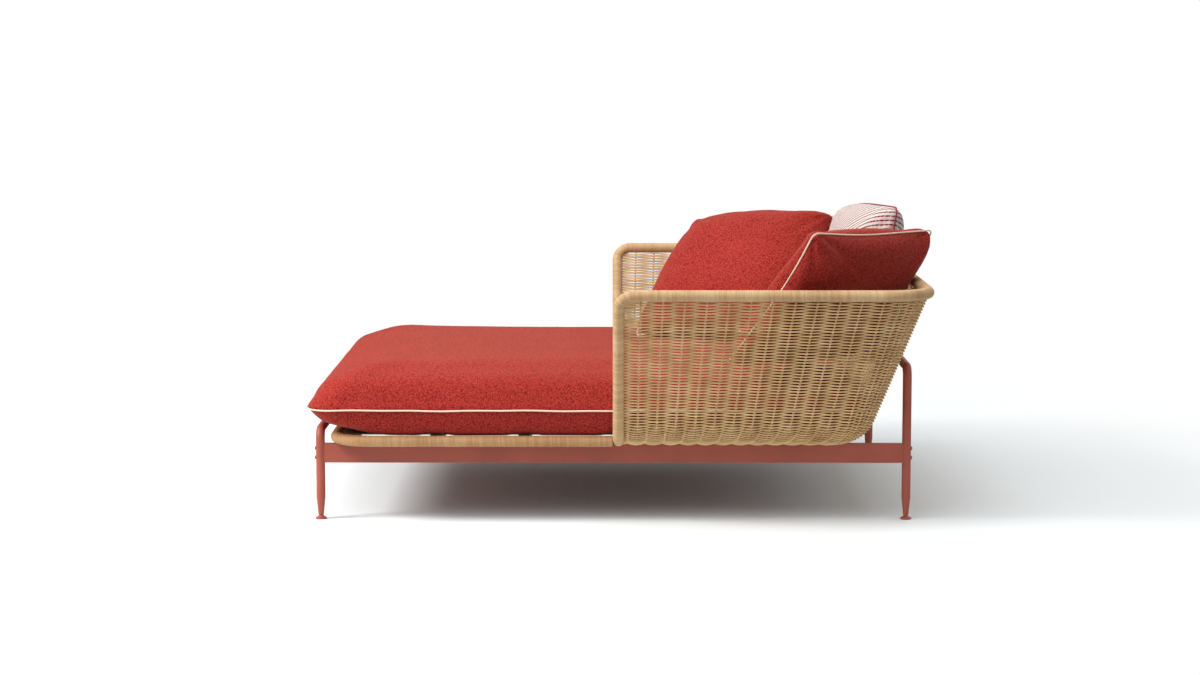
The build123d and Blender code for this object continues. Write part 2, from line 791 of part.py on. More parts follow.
near_z = middle_z(cushion_h, near_lean_angle, near_rise_share)
far_z = middle_z(cushion_h, far_lean_angle, far_rise_share)
striped_z = middle_z(small_cushion_w, striped_lean_angle, striped_rise_share)
big_cushion = cushion(cushion_w, cushion_h, cushion_t)
big_piping = cushion_piping(cushion_w, cushion_h, piping_d / 2)
small_cushion = cushion(small_cushion_w, small_cushion_w, small_cushion_t)
small_piping = cushion_piping(small_cushion_w, small_cushion_w, piping_d / 2)
near_plane = cushion_plane(
    (near_x, near_y, near_z), near_facing_angle, near_lean_angle, near_roll_angle
)
far_plane = cushion_plane((far_x, far_y, far_z), far_facing_angle, far_lean_angle, far_roll_angle)
striped_plane = cushion_plane(
    (striped_x, striped_y, striped_z),
    striped_facing_angle,
    striped_lean_angle,
    striped_roll_angle,
)
cushions = (
    ("near_cushion", big_cushion, big_piping, near_plane),
    ("far_cushion", big_cushion, big_piping, far_plane),
    ("striped_cushion", small_cushion, small_piping, striped_plane),
)
for cushion_name, pillow, piping, plane in cushions:
    pillow_at_place = plane.location * pillow.part
    pillow_at_place.label = cushion_name
    export_step(pillow_at_place, f"parts/{cushion_name}.step")
    piping_at_place = plane.location * piping.part
    piping_at_place.label = f"{cushion_name}_piping"
    export_step(piping_at_place, f"parts/{cushion_name}_piping.step")
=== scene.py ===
import math

import bpy
import numpy as np
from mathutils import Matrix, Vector
from mathutils.bvhtree import BVHTree


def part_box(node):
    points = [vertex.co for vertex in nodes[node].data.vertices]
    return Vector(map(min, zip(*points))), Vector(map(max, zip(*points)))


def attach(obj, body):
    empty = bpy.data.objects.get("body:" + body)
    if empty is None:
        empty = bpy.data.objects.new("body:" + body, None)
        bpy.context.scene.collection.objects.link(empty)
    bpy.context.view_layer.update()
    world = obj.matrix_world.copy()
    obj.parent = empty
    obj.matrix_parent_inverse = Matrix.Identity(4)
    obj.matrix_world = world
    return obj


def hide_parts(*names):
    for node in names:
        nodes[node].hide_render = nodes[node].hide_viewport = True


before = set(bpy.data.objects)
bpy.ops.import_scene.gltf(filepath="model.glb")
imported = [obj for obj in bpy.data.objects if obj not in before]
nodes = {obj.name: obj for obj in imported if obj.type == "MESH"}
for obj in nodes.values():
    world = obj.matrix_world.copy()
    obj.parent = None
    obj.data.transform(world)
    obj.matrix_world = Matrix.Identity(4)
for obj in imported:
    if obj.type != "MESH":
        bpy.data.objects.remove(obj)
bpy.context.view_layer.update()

# Shell, in metres, in the shared frame
POST_X = -0.006
RIM_X = 0.770
RIM_Y = 0.760
RIM_Z = 0.5994
CORNER_R = 0.115
NARROWING = 0.38
FLARE = math.radians(20.9)
BEND_R = 0.100
FLOOR_Z = 0.2015
LIP = 0.00885
TUBE_Z = 0.212
WRAP_R = 0.015
STAKE_SIDE = 12
STAKE_CORNER = 4
STAKE_BACK = 24
CORD_R = 0.00200
ROW_PITCH = 0.0041
WEAVE_AMP = 0.0045
STAKE_R = 0.0026
POST_R = 0.0125
PER_STAKE = 6
ROW_START = 0.6

# Wound tubes
WIND_PITCH = 0.0041
WIND_SIDES = 14
WIND_STEPS = 4
WIND_RELIEF = 0.8
POST_FOOT_Y = 0.560
RING_X = -0.7325
RING_Y = 0.590
RING_CORNER_R = 0.095

# Mattress
MATTRESS_ENDS = (-0.805, 0.639)
MATTRESS_HALF_Y = 0.616
MATTRESS_CORNER_R = 0.080
SEAM_Z = 0.2933
SLAT_EDGE_Y = 0.559
BAR_PLACES = (-0.6965, -0.4715, -0.2465)
SEWN_LINE_X = -0.693
SEWN_LINE_TOP_Z = 0.291
SEWN_LINE_HALF = 0.0012

# Soft pieces
MATTRESS_VOXEL = 0.014
CUSHION_VOXEL = 0.006
PRESSURE = 3.0
MATTRESS_CAP = 0.012
CUSHION_CAP = 0.008
CLOTH_FRAMES = 20
PIPING_R = 0.0021
PIPING_SIDES = 8
CLEARANCE = 0.002
SEAM_BOW = 0.045
CORNER_CREASE = 0.0016

# Cloth textures
LOOP = 0.0040
LINE_PITCH = 0.0115
LINE_BOW = 1.1
LINE_SLANT = 0.75
DOT_PITCH = 0.0065
DOT_DEPTH = 0.28

# The colour output of a mix node
MIXED = 2


def srgb(r, g, b):
    """Linear colour from the 0 to 255 values of a screen colour."""
    out = []
    for value in (r, g, b):
        c = value / 255
        out.append(c / 12.92 if c <= 0.04045 else ((c + 0.055) / 1.055) ** 2.4)
    return (*out, 1.0)


# Materials
class Nodes:
    """Small helper that builds a node tree and links nodes by socket names."""

    def __init__(self, name):
        self.material = bpy.data.materials.new(name)
        self.material.use_nodes = True
        self.tree = self.material.node_tree
        self.tree.nodes.clear()
        self.out = self.add("ShaderNodeOutputMaterial")
        self.bsdf = self.add("ShaderNodeBsdfPrincipled")
        self.link(self.bsdf, "BSDF", self.out, "Surface")
        self.coords = self.add("ShaderNodeTexCoord")

    def add(self, kind, **values):
        node = self.tree.nodes.new(kind)
        for key, value in values.items():
            if key in node.inputs:
                node.inputs[key].default_value = value
            else:
                setattr(node, key, value)
        return node

    def link(self, a, a_socket, b, b_socket):
        self.tree.links.new(a.outputs[a_socket], b.inputs[b_socket])

    def noise(self, scale, detail=2.0):
        node = self.add("ShaderNodeTexNoise", Scale=scale, Detail=detail)
        self.link(self.coords, "Object", node, "Vector")
        return node

    def ramp(self, source, socket, stops):
        node = self.add("ShaderNodeValToRGB")
        elements = node.color_ramp.elements
        while len(elements) < len(stops):
            elements.new(0.5)
        for element, (place, colour) in zip(elements, stops):
            element.position = place
            element.color = colour
        self.link(source, socket, node, "Fac")
        return node

    def mix(self, factor, a, b, mode="MIX"):
        """Mixes two colour sources, each a (node, socket) pair or a plain colour."""
        node = self.add("ShaderNodeMix", data_type="RGBA", blend_type=mode)
        if isinstance(factor, tuple):
            self.tree.links.new(factor[0].outputs[factor[1]], node.inputs[0])
        else:
            node.inputs[0].default_value = factor
        for index, source in ((6, a), (7, b)):
            if isinstance(source[0], (int, float)):
                node.inputs[index].default_value = source
            else:
                self.tree.links.new(source[0].outputs[source[1]], node.inputs[index])
        return node

    def math(self, operation, a, b=None):
        node = self.add("ShaderNodeMath", operation=operation)
        for index, source in enumerate((a, b)):
            if source is None:
                continue
            if isinstance(source, tuple):
                self.tree.links.new(source[0].outputs[source[1]], node.inputs[index])
            else:
                node.inputs[index].default_value = source
        return node

    def bump(self, source, socket, strength, distance, after=None):
        node = self.add("ShaderNodeBump", Strength=strength, Distance=distance)
        self.link(source, socket, node, "Height")
        if after is not None:
            self.link(after, "Normal", node, "Normal")
        return node


def paint_material(name, colour, dark, roughness):
    """Powder coat: a fine orange-peel skin, faint cloudy tone and slightly rubbed patches."""
    n = Nodes(name)
    cloud = n.noise(9.0, 3.0)
    tone = n.ramp(cloud, "Fac", [(0.35, dark), (0.65, colour)])
    n.link(tone, "Color", n.bsdf, "Base Color")
    peel = n.noise(900.0, 2.0)
    broad = n.noise(160.0, 2.0)
    bump = n.bump(peel, "Fac", 0.25, 0.0003)
    bump = n.bump(broad, "Fac", 0.12, 0.0006, bump)
    n.link(bump, "Normal", n.bsdf, "Normal")
    rough = n.add("ShaderNodeMapRange")
    rough.inputs["To Min"].default_value = roughness - 0.07
    rough.inputs["To Max"].default_value = roughness + 0.09
    n.link(cloud, "Fac", rough, "Value")
    n.link(rough, "Result", n.bsdf, "Roughness")
    n.bsdf.inputs["Specular IOR Level"].default_value = 0.4
    return n.material


def steel_material(name, colour, roughness):
    """Plated steel with a fine grain."""
    n = Nodes(name)
    grain = n.noise(700.0, 3.0)
    tone = n.ramp(grain, "Fac", [(0.3, (colour * 0.8,) * 3 + (1,)), (0.7, (colour,) * 3 + (1,))])
    n.link(tone, "Color", n.bsdf, "Base Color")
    n.bsdf.inputs["Metallic"].default_value = 1.0
    n.bsdf.inputs["Roughness"].default_value = roughness
    bump = n.bump(grain, "Fac", 0.1, 0.0002)
    n.link(bump, "Normal", n.bsdf, "Normal")
    return n.material


def cord_material(name, light, middle, dark):
    """Round outdoor cord: each length has its own tone, with fine fibres along it."""
    n = Nodes(name)
    tone = n.add("ShaderNodeAttribute", attribute_name="tone")
    patch = n.noise(16.0, 3.0)
    lengths = n.math("MULTIPLY", (tone, "Fac"), 0.62)
    patches = n.math("MULTIPLY", (patch, "Fac"), 0.38)
    half = n.math("ADD", (lengths, "Value"), (patches, "Value"))
    colour = n.ramp(half, "Value", [(0.25, dark), (0.5, middle), (0.75, light)])
    fibre = n.noise(1400.0, 2.0)
    shade = n.ramp(fibre, "Fac", [(0.3, (0.80, 0.80, 0.80, 1)), (0.65, (1.0, 1.0, 1.0, 1))])
    final = n.mix(1.0, (colour, "Color"), (shade, "Color"), "MULTIPLY")
    n.link(final, MIXED, n.bsdf, "Base Color")
    n.bsdf.inputs["Roughness"].default_value = 0.62
    n.bsdf.inputs["Specular IOR Level"].default_value = 0.35
    bump = n.bump(fibre, "Fac", 0.35, 0.0004)
    n.link(bump, "Normal", n.bsdf, "Normal")
    return n.material


def looped_fabric(name, light, middle, dark, seam_x=None):
    """Coarse looped weave: uneven raised loops, lighter on their tops with painted shade in the pits
    between them, and a sewn line if asked.
    """
    n = Nodes(name)
    warp = n.noise(55.0)
    shift = n.mix(0.012, (n.coords, "Object"), (warp, "Color"), "ADD")
    stretch = n.add("ShaderNodeMapping")
    stretch.inputs["Rotation"].default_value = (0.0, 0.0, math.radians(32))
    stretch.inputs["Scale"].default_value = (1.0, 0.72, 0.9)
    n.link(shift, MIXED, stretch, "Vector")
    cells = n.add("ShaderNodeTexVoronoi", feature="F1", Scale=1 / LOOP, Randomness=0.75)
    n.link(stretch, "Vector", cells, "Vector")
    fine = n.noise(620.0)
    # Tone by distance from each loop's middle: lighter loop tops, and painted shade darkening the pits
    # between the loops.
    pit_shade = n.ramp(cells, "Distance", [(0.08, light), (0.40, middle), (0.86, dark)])
    speck = n.ramp(fine, "Fac", [(0.35, (0.80, 0.76, 0.76, 1)), (0.62, (1.0, 1.0, 1.0, 1))])
    colour = n.mix(0.8, (pit_shade, "Color"), (speck, "Color"), "MULTIPLY")
    broad = n.noise(4.0, 3.0)
    cloud = n.ramp(broad, "Fac", [(0.3, (0.90, 0.88, 0.88, 1)), (0.7, (1.0, 1.0, 1.0, 1))])
    final = n.mix(1.0, (colour, MIXED), (cloud, "Color"), "MULTIPLY")
    if seam_x is not None:
        split = n.add("ShaderNodeSeparateXYZ")
        n.link(n.coords, "Object", split, 0)
        away = n.math("ABSOLUTE", (n.math("SUBTRACT", (split, "X"), seam_x), "Value"))
        line = n.math("LESS_THAN", (away, "Value"), SEWN_LINE_HALF)
        below = n.math("LESS_THAN", (split, "Z"), SEWN_LINE_TOP_Z)
        stitched = n.math("MULTIPLY", (line, "Value"), (below, "Value"))
        weight = n.math("MULTIPLY", (stitched, "Value"), 0.55)
        final = n.mix((weight, "Value"), (final, MIXED), srgb(70, 10, 16))
    n.link(final, MIXED, n.bsdf, "Base Color")
    height = n.math("SUBTRACT", 1.0, (cells, "Distance"))
    bump = n.bump(height, "Value", 0.55, 0.0012)
    bump = n.bump(fine, "Fac", 0.35, 0.0005, bump)
    n.link(bump, "Normal", n.bsdf, "Normal")
    n.bsdf.inputs["Roughness"].default_value = 0.88
    n.bsdf.inputs["Specular IOR Level"].default_value = 0.06
    n.bsdf.inputs["Sheen Weight"].default_value = 0.20
    n.bsdf.inputs["Sheen Roughness"].default_value = 0.5
    n.bsdf.inputs["Sheen Tint"].default_value = (1.0, 0.42, 0.30, 1.0)
    return n.material


def piping_material(name, colour, dark):
    """Corded piping cloth with a fine diagonal rib."""
    n = Nodes(name)
    wave = n.add("ShaderNodeTexWave", Scale=230.0, Distortion=1.5)
    wave.bands_direction = "DIAGONAL"
    n.link(n.coords, "Object", wave, "Vector")
    tone = n.ramp(wave, "Fac", [(0.15, dark), (0.6, colour)])
    n.link(tone, "Color", n.bsdf, "Base Color")
    bump = n.bump(wave, "Fac", 0.3, 0.0005)
    n.link(bump, "Normal", n.bsdf, "Normal")
    n.bsdf.inputs["Roughness"].default_value = 0.8
    n.bsdf.inputs["Sheen Weight"].default_value = 0.15
    return n.material


terracotta = paint_material("terracotta_paint", srgb(161, 78, 61), srgb(151, 71, 55), 0.48)
foot_paint = paint_material("foot_paint", srgb(158, 78, 62), srgb(146, 70, 55), 0.5)
tan_paint = paint_material("tan_paint", srgb(120, 88, 58), srgb(106, 76, 50), 0.6)
plated = steel_material("plated_steel", 0.56, 0.32)
cord_colour = cord_material("cord", srgb(238, 208, 160), srgb(214, 176, 124), srgb(176, 134, 84))
rim_cord = cord_material("rim_cord", srgb(214, 187, 147), srgb(194, 158, 114), srgb(159, 120, 77))
# The ring's cord is a darker copy of the rim's cord: painted shade for the shadow under the mattress's
# edge.
shaded_ring_cord = cord_material("shaded_ring_cord", srgb(196, 159, 117), srgb(177, 134, 89), srgb(145, 101, 59))
stake_colour = cord_material("stake_cord", srgb(240, 214, 172), srgb(226, 192, 142), srgb(196, 156, 108))
LOOP_TONES = (srgb(177, 70, 57), srgb(156, 46, 39), srgb(112, 18, 19))
red_fabric = looped_fabric("red_fabric", *LOOP_TONES)
mattress_fabric = looped_fabric("mattress_fabric", *LOOP_TONES, seam_x=SEWN_LINE_X)
cream_piping = piping_material("cream_piping", srgb(236, 214, 190), srgb(206, 180, 152))
red_piping = piping_material("red_piping", srgb(150, 30, 38), srgb(104, 16, 26))


def striped_material(name):
    """Off-white cloth with fine dotted lines that bow gently across it, a plain stripe pattern."""
    n = Nodes(name)
    split = n.add("ShaderNodeSeparateXYZ")
    attribute = n.add("ShaderNodeAttribute", attribute_name="cloth_place")
    n.link(attribute, "Vector", split, 0)
    bow = n.math("MULTIPLY", (split, "X"), (split, "X"))
    bowed = n.math("MULTIPLY", (bow, "Value"), LINE_BOW)
    slant = n.math("MULTIPLY", (split, "X"), LINE_SLANT)
    sum_a = n.math("ADD", (split, "Y"), (bowed, "Value"))
    across = n.math("SUBTRACT", (sum_a, "Value"), (slant, "Value"))
    lines = n.math("MULTIPLY", (across, "Value"), 2 * math.pi / LINE_PITCH)
    wave = n.math("SINE", (lines, "Value"))
    dots = n.math("MULTIPLY", (split, "X"), 2 * math.pi / DOT_PITCH)
    dotted = n.math("SINE", (dots, "Value"))
    both = n.math("MULTIPLY_ADD", (dotted, "Value"), DOT_DEPTH)
    n.link(wave, "Value", both, 2)
    stripe = n.ramp(both, "Value", [(0.38, (0, 0, 0, 1)), (0.60, (1, 1, 1, 1))])
    weave = n.noise(900.0, 2.0)
    cream = n.ramp(weave, "Fac", [(0.3, srgb(186, 178, 171)), (0.7, srgb(204, 196, 189))])
    colour = n.mix((stripe, "Color"), (cream, "Color"), srgb(120, 26, 34))
    n.link(colour, MIXED, n.bsdf, "Base Color")
    bump = n.bump(weave, "Fac", 0.4, 0.0005)
    bump = n.bump(stripe, "Color", 0.3, 0.0008, bump)
    n.link(bump, "Normal", n.bsdf, "Normal")
    n.bsdf.inputs["Roughness"].default_value = 0.85
    n.bsdf.inputs["Sheen Weight"].default_value = 0.2
    return n.material


striped_fabric = striped_material("striped_fabric")


# Mesh helpers
def mesh_object(name, points, faces, material, tone=None):
    """A smooth-shaded mesh in the scene, with one tone per point where it is given."""
    mesh = bpy.data.meshes.new(name)
    mesh.from_pydata(points.tolist(), [], faces)
    mesh.validate()
    if tone is not None:
        layer = mesh.attributes.new("tone", "FLOAT", "POINT")
        layer.data.foreach_set("value", np.asarray(tone, np.float32))
    mesh.materials.append(material)
    mesh.polygons.foreach_set("use_smooth", [True] * len(mesh.polygons))
    mesh.update()
    obj = bpy.data.objects.new(name, mesh)
    bpy.context.scene.collection.objects.link(obj)
    return obj


class Strands:
    """Collects many tubes into one mesh."""

    def __init__(self, sides):
        self.sides = sides
        self.points = []
        self.faces = []
        self.tone = []
        self.count = 0

    def tube(self, places, first, second, radius, tone):
        """places, first and second are N by 3: the centre line and the two section directions."""
        n = len(places)
        angles = np.arange(self.sides) * 2 * math.pi / self.sides
        radius = np.broadcast_to(np.asarray(radius, float), (n,))
        ring = (
            places[:, None, :]
            + radius[:, None, None] * np.cos(angles)[None, :, None] * first[:, None, :]
            + radius[:, None, None] * np.sin(angles)[None, :, None] * second[:, None, :]
        )
        start = self.count
        self.points.append(ring.reshape(-1, 3))
        k = np.arange(self.sides)
        after = (k + 1) % self.sides
        rows = start + np.arange(n - 1)[:, None] * self.sides
        quads = np.stack([rows + k, rows + after, rows + self.sides + after, rows + self.sides + k], -1)
        self.faces.extend(quads.reshape(-1, 4).tolist())
        self.faces.append(list(range(start, start + self.sides))[::-1])
        last = start + (n - 1) * self.sides
        self.faces.append(list(range(last, last + self.sides)))
        self.tone.append(np.full(n * self.sides, tone))
        self.count += n * self.sides

    def build(self, name, material):
        return mesh_object(
            name, np.concatenate(self.points), self.faces, material, tone=np.concatenate(self.tone)
        )


# Wall surface: profile angle and inset for a distance down from the rim
BEND_TOP_Z = FLOOR_Z + BEND_R * (1 - math.sin(FLARE))
SLOPE_TOP_Z = RIM_Z - WRAP_R - 0.0003
SLOPE_LENGTH = (SLOPE_TOP_Z - BEND_TOP_Z) / math.cos(FLARE)
BEND_LENGTH = BEND_R * (math.pi / 2 - FLARE)


def profile(down):
    """Inset, height and outward angle at a distance along the wall from its top edge."""
    top_inset = (RIM_Z - SLOPE_TOP_Z) * math.tan(FLARE)
    if down < SLOPE_LENGTH:
        return top_inset + down * math.sin(FLARE), SLOPE_TOP_Z - down * math.cos(FLARE), FLARE
    bend_inset = top_inset + SLOPE_LENGTH * math.sin(FLARE)
    past = down - SLOPE_LENGTH
    if past < BEND_LENGTH:
        angle = FLARE + past / BEND_R
        inset = bend_inset + BEND_R * (math.cos(FLARE) - math.cos(angle))
        return inset, BEND_TOP_Z - BEND_R * (math.sin(angle) - math.sin(FLARE)), angle
    inset = bend_inset + BEND_R * math.cos(FLARE) + past - BEND_LENGTH
    return inset, FLOOR_Z, math.pi / 2


T_NEAR = STAKE_SIDE
T_CORNER_A = T_NEAR + STAKE_CORNER
T_BACK = T_CORNER_A + STAKE_BACK
T_CORNER_B = T_BACK + STAKE_CORNER
T_END = T_CORNER_B + STAKE_SIDE


def wall_points(t, down):
    """Places, outward normals and down-slope directions for stake coordinates t."""
    inset, height, angle = profile(down)
    radius = CORNER_R - NARROWING * inset
    sx = RIM_X - inset - radius
    sy = RIM_Y - inset - radius
    t = np.asarray(t, float)
    x = np.zeros_like(t)
    y = np.zeros_like(t)
    nx = np.zeros_like(t)
    ny = np.zeros_like(t)
    a = t <= T_NEAR
    x[a] = POST_X + (sx - POST_X) * t[a] / STAKE_SIDE
    y[a] = -(RIM_Y - inset)
    ny[a] = -1
    b = (t > T_NEAR) & (t <= T_CORNER_A)
    turn = (t[b] - T_NEAR) / STAKE_CORNER * math.pi / 2
    x[b] = sx + radius * np.sin(turn)
    y[b] = -(sy + radius * np.cos(turn))
    nx[b] = np.sin(turn)
    ny[b] = -np.cos(turn)
    c = (t > T_CORNER_A) & (t <= T_BACK)
    x[c] = RIM_X - inset
    y[c] = -sy + 2 * sy * (t[c] - T_CORNER_A) / STAKE_BACK
    nx[c] = 1
    d = (t > T_BACK) & (t <= T_CORNER_B)
    turn = (t[d] - T_BACK) / STAKE_CORNER * math.pi / 2
    x[d] = sx + radius * np.cos(turn)
    y[d] = sy + radius * np.sin(turn)
    nx[d] = np.cos(turn)
    ny[d] = np.sin(turn)
    e = t > T_CORNER_B
    x[e] = sx + (POST_X - sx) * (t[e] - T_CORNER_B) / STAKE_SIDE
    y[e] = RIM_Y - inset
    ny[e] = 1
    place = np.stack([x, y, np.full_like(t, height)], -1)
    cosine, sine = math.cos(angle), math.sin(angle)
    normal = np.stack([cosine * nx, cosine * ny, np.full_like(t, -sine)], -1)
    along = np.stack([-sine * nx, -sine * ny, np.full_like(t, -cosine)], -1)
    return place, normal, along


# Woven wall: rows of cord that pass in front of one stake and behind the next
rng = np.random.default_rng(7)
WALL_LENGTH = SLOPE_LENGTH + BEND_LENGTH + LIP
ROWS = int(WALL_LENGTH / ROW_PITCH)
spans = (
    (0.0, 14.0, "weave_near_side"),
    (14.0, 28.0, "weave_back_near"),
    (28.0, 42.0, "weave_back_far"),
    (42.0, 56.0, "weave_far_side"),
)
row_tones = rng.uniform(0.36, 0.66, ROWS)
row_shifts = rng.normal(0, 0.00008, ROWS)
for low, high, name in spans:
    strands = Strands(5)
    for row in range(ROWS):
        down = (row + ROW_START) * WALL_LENGTH / ROWS + row_shifts[row]
        inset = profile(down)[0]
        straight_end = RIM_X - inset - (CORNER_R - NARROWING * inset)
        post_share = POST_R / (straight_end - POST_X) * STAKE_SIDE
        first = max(low, post_share)
        last = min(high, T_END - post_share)
        t = np.linspace(first, last, int(round((last - first) * PER_STAKE)) + 1)
        place, normal, along = wall_points(t, down)
        sign = 1 if row % 2 else -1
        wave = np.cos(math.pi * t) * sign * WEAVE_AMP
        wander = 0.00012 * np.sin(t * 2.3 + row * 1.7) + 0.00006 * np.sin(t * 5.1 + row)
        place = place + normal * wave[:, None] + along * wander[:, None]
        strands.tube(place, normal, along, CORD_R, row_tones[row])
    piece = strands.build(name, cord_colour)
    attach(piece, "frame")
    if low == 0.0:
        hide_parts("woven_wall")

# Stakes: round rods from the rim down to the lip
rods = Strands(7)
STAKE_TUCK = 0.004
STAKE_TAIL = 0.005
bend_downs = np.linspace(SLOPE_LENGTH, SLOPE_LENGTH + BEND_LENGTH + STAKE_TAIL, 8)[1:]
downs = np.concatenate([np.linspace(-STAKE_TUCK, SLOPE_LENGTH, 6), bend_downs])
for index in range(1, T_END):
    rows = [wall_points([float(index)], max(down, 0)) for down in downs]
    place = np.array([r[0][0] for r in rows])
    place[0] += (place[0] - place[1]) / np.linalg.norm(place[0] - place[1]) * STAKE_TUCK
    normal = np.array([r[1][0] for r in rows])
    run = np.gradient(place, axis=0)
    run /= np.linalg.norm(run, axis=1)[:, None]
    side = np.cross(run, normal)
    side /= np.linalg.norm(side, axis=1)[:, None]
    rods.tube(place, normal, side, STAKE_R, rng.uniform(0.4, 0.8))
stake_rods = rods.build("stake_rods", stake_colour)
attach(stake_rods, "frame")
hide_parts("stakes")


# Wound tubes
def rounded_path(corners, radii, step):
    """Places along a polyline whose corners are rounded to the given radii."""
    corners = [np.array(c, float) for c in corners]
    pieces = []
    start = corners[0]
    for i in range(1, len(corners) - 1):
        before = corners[i] - corners[i - 1]
        after = corners[i + 1] - corners[i]
        before /= np.linalg.norm(before)
        after /= np.linalg.norm(after)
        turn = math.acos(np.clip(before @ after, -1, 1))
        reach = radii[i - 1] * math.tan(turn / 2)
        a = corners[i] - before * reach
        pieces.append(("line", start, a))
        axis = after - before * (before @ after)
        axis /= np.linalg.norm(axis)
        pieces.append(("arc", a, before, axis, radii[i - 1], turn))
        start = corners[i] + after * reach
    pieces.append(("line", start, corners[-1]))
    dense = []
    for piece in pieces:
        if piece[0] == "line":
            length = np.linalg.norm(piece[2] - piece[1])
            share = np.linspace(0, 1, max(2, int(length / step)))[:-1]
            dense.append(piece[1] + (piece[2] - piece[1]) * share[:, None])
        else:
            _, a, before, axis, radius, turn = piece
            angles = np.linspace(0, turn, max(3, int(radius * turn / step)))[:-1]
            dense.append(
                a + radius * (np.sin(angles)[:, None] * before + (1 - np.cos(angles))[:, None] * axis)
            )
    dense.append(corners[-1][None, :])
    path = np.concatenate(dense)
    lengths = np.concatenate([[0], np.cumsum(np.linalg.norm(np.diff(path, axis=0), axis=1))])
    even = np.arange(0, lengths[-1], step)
    return np.stack([np.interp(even, lengths, path[:, k]) for k in range(3)], -1), even


def wound_sleeve(name, corners, radii, material):
    """A tube wound tightly with cord: its surface has one helical ridge per turn."""
    pitch, sides = WIND_PITCH, WIND_SIDES
    path, length = rounded_path(corners, radii, pitch / WIND_STEPS)
    run = np.gradient(path, axis=0)
    run /= np.linalg.norm(run, axis=1)[:, None]
    first = np.zeros_like(path)
    guide = np.array([0.0, 0.0, 1.0]) if abs(run[0][2]) < 0.9 else np.array([1.0, 0.0, 0.0])
    for i in range(len(path)):
        guide = guide - run[i] * (guide @ run[i])
        guide /= np.linalg.norm(guide)
        first[i] = guide
    second = np.cross(run, first)
    angles = np.arange(sides) * 2 * math.pi / sides
    phase = (length[:, None] / pitch - angles[None, :] / (2 * math.pi)) % 1.0
    cord_r = pitch / 2
    ridge = np.sqrt(np.clip(cord_r**2 - ((phase - 0.5) * pitch) ** 2, 0, None)) * WIND_RELIEF
    radius = WRAP_R - cord_r * WIND_RELIEF + ridge
    places = (
        path[:, None, :]
        + radius[:, :, None] * np.cos(angles)[None, :, None] * first[:, None, :]
        + radius[:, :, None] * np.sin(angles)[None, :, None] * second[:, None, :]
    )
    count = len(path)
    k = np.arange(sides)
    after = (k + 1) % sides
    rows = np.arange(count - 1)[:, None] * sides
    quads = np.stack([rows + k, rows + after, rows + sides + after, rows + sides + k], -1)
    faces = quads.reshape(-1, 4).tolist()
    faces.append(list(range(sides))[::-1])
    faces.append(list(range((count - 1) * sides, count * sides)))
    turns = np.floor(length[:, None] / pitch - angles[None, :] / (2 * math.pi)).astype(int)
    tones = np.random.default_rng(11).uniform(0.40, 0.64, turns.max() - turns.min() + 1)
    tone = tones[turns - turns.min()].reshape(-1)
    piece = mesh_object(name, places.reshape(-1, 3), faces, material, tone=tone)
    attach(piece, "frame")
    return piece


knee_y = RIM_Y - (RIM_Z - TUBE_Z) * math.tan(FLARE)
hoop_corners = [
    (POST_X, -POST_FOOT_Y, TUBE_Z),
    (POST_X, -knee_y, TUBE_Z),
    (POST_X, -RIM_Y, RIM_Z),
    (RIM_X, -RIM_Y, RIM_Z),
    (RIM_X, RIM_Y, RIM_Z),
    (POST_X, RIM_Y, RIM_Z),
    (POST_X, knee_y, TUBE_Z),
    (POST_X, POST_FOOT_Y, TUBE_Z),
]
FOOT_BEND_R = 0.060
SHOULDER_BEND_R = 0.038
hoop_radii = [FOOT_BEND_R, SHOULDER_BEND_R, CORNER_R, CORNER_R, SHOULDER_BEND_R, FOOT_BEND_R]
hoop = wound_sleeve("hoop_winding", hoop_corners, hoop_radii, rim_cord)
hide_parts("hoop_wrap")
ring_corners = [
    (POST_X - WRAP_R, -RING_Y, TUBE_Z),
    (RING_X, -RING_Y, TUBE_Z),
    (RING_X, RING_Y, TUBE_Z),
    (POST_X - WRAP_R, RING_Y, TUBE_Z),
]
# The ring is wound with the darker cord copy, painted shade from the mattress above it.
ring = wound_sleeve("ring_winding", ring_corners, [RING_CORNER_R, RING_CORNER_R], shaded_ring_cord)
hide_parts("seat_ring_wrap")


# Soft pieces
def soft_copy(name, node, voxel):
    """A voxel-remeshed copy of a CAD solid."""
    mesh = nodes[node].data.copy()
    mesh.name = name
    obj = bpy.data.objects.new(name, mesh)
    bpy.context.scene.collection.objects.link(obj)
    mesh.materials.clear()
    remesh(obj, voxel)
    return obj


def remesh(obj, voxel):
    modifier = obj.modifiers.new("remesh", "REMESH")
    modifier.mode = "VOXEL"
    modifier.voxel_size = voxel
    apply_modifiers(obj)


def apply_modifiers(obj):
    """Replaces the object's mesh with the evaluated one and takes the modifiers away."""
    graph = bpy.context.evaluated_depsgraph_get()
    mesh = bpy.data.meshes.new_from_object(obj.evaluated_get(graph))
    obj.modifiers.clear()
    old = obj.data
    obj.data = mesh
    bpy.data.meshes.remove(old)


def places_of(obj):
    co = np.zeros(len(obj.data.vertices) * 3, np.float32)
    obj.data.vertices.foreach_get("co", co)
    return co.reshape(-1, 3).astype(float)


def set_places(obj, places):
    obj.data.vertices.foreach_set("co", places.astype(np.float32).ravel())
    obj.data.update()


